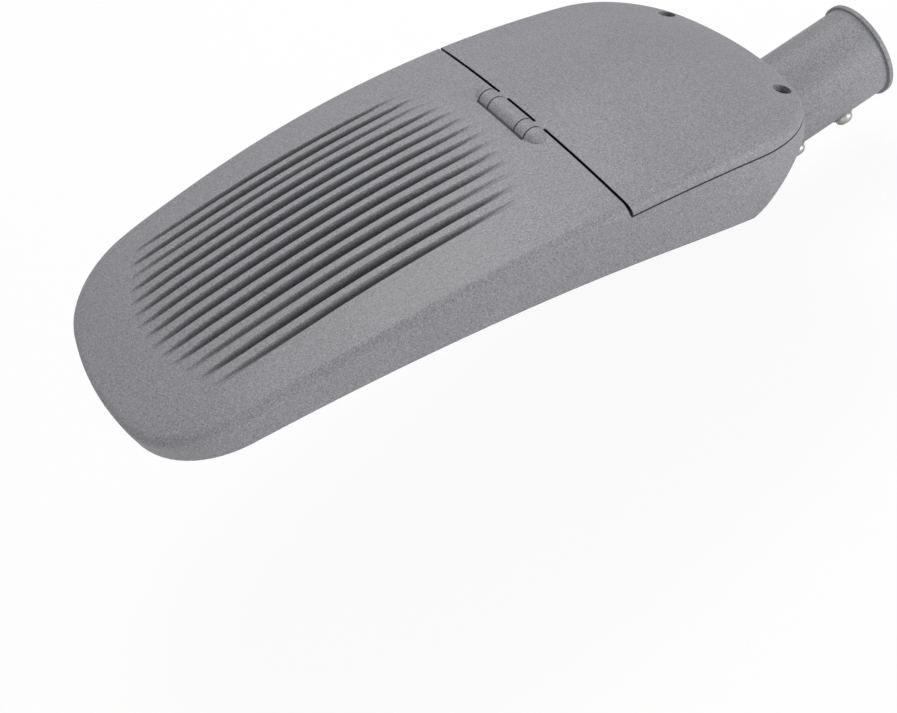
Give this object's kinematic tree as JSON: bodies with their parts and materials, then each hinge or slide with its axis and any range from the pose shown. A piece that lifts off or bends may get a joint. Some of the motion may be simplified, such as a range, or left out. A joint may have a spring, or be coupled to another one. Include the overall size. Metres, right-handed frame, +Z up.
{
  "type": "led street light head",
  "caption": "Arched die-cast street light head with cooling grooves, a hinged rear cover, a glazed light window below and a tubular pole spigot.",
  "frame": {"origin": "centre of the spigot's mouth, where the pole goes in", "axes": "+X out of the spigot's bore along the pole, the head's nose at -X; +Z up; +Y to the right when looking from the pole towards the nose"},
  "size_m": [0.5857, 0.25, 0.1784],
  "materials": {
    "powder_coat": "fine-textured grey powder coat",
    "zinc_steel": "bright zinc plate",
    "stainless": "plain stainless",
    "rubber": "matt black",
    "tempered_glass": "clear, polished",
    "board_white": "white solder mask",
    "led_yellow": "yellow phosphor",
    "lens_clear": "clear moulded lens",
    "tray_steel": "galvanised sheet",
    "driver_metal": "satin",
    "dark_plastic": "fine matt",
    "light_plastic": "natural nylon",
    "brass_metal": "plain"
  },
  "bodies": {
    "head": {"housing": "powder_coat", "window_frame": "powder_coat", "clamp_bolts": "zinc_steel", "hinge_pin": "stainless", "frame_screws": "stainless", "lens_screws": "stainless", "tray_screws": "stainless", "driver_screws": "stainless", "cord_grip_screws": "stainless", "cover_gasket": "rubber", "window_gasket": "rubber", "lead_grommet": "rubber", "window_glass": "tempered_glass", "led_boards": "board_white", "led_chips": "led_yellow", "lens_modules": "lens_clear", "gear_tray": "tray_steel", "led_driver": "driver_metal", "surge_protector": "dark_plastic", "cable_gland": "dark_plastic", "gland_nut": "dark_plastic", "terminal_block": "light_plastic", "cord_grip_base": "light_plastic", "cord_grip_bar": "light_plastic", "terminal_screws": "brass_metal", "earth_screw": "brass_metal"},
    "cover": {"gear_cover": "powder_coat", "cover_screws": "stainless"}
  },
  "joints": [
    {"name": "cover_hinge", "type": "hinge", "parent": "head", "child": "cover", "pos_m": [-0.268, 0, 0.12194], "axis": [0, -1, 0], "range_deg": [0, 105]}
  ]
}
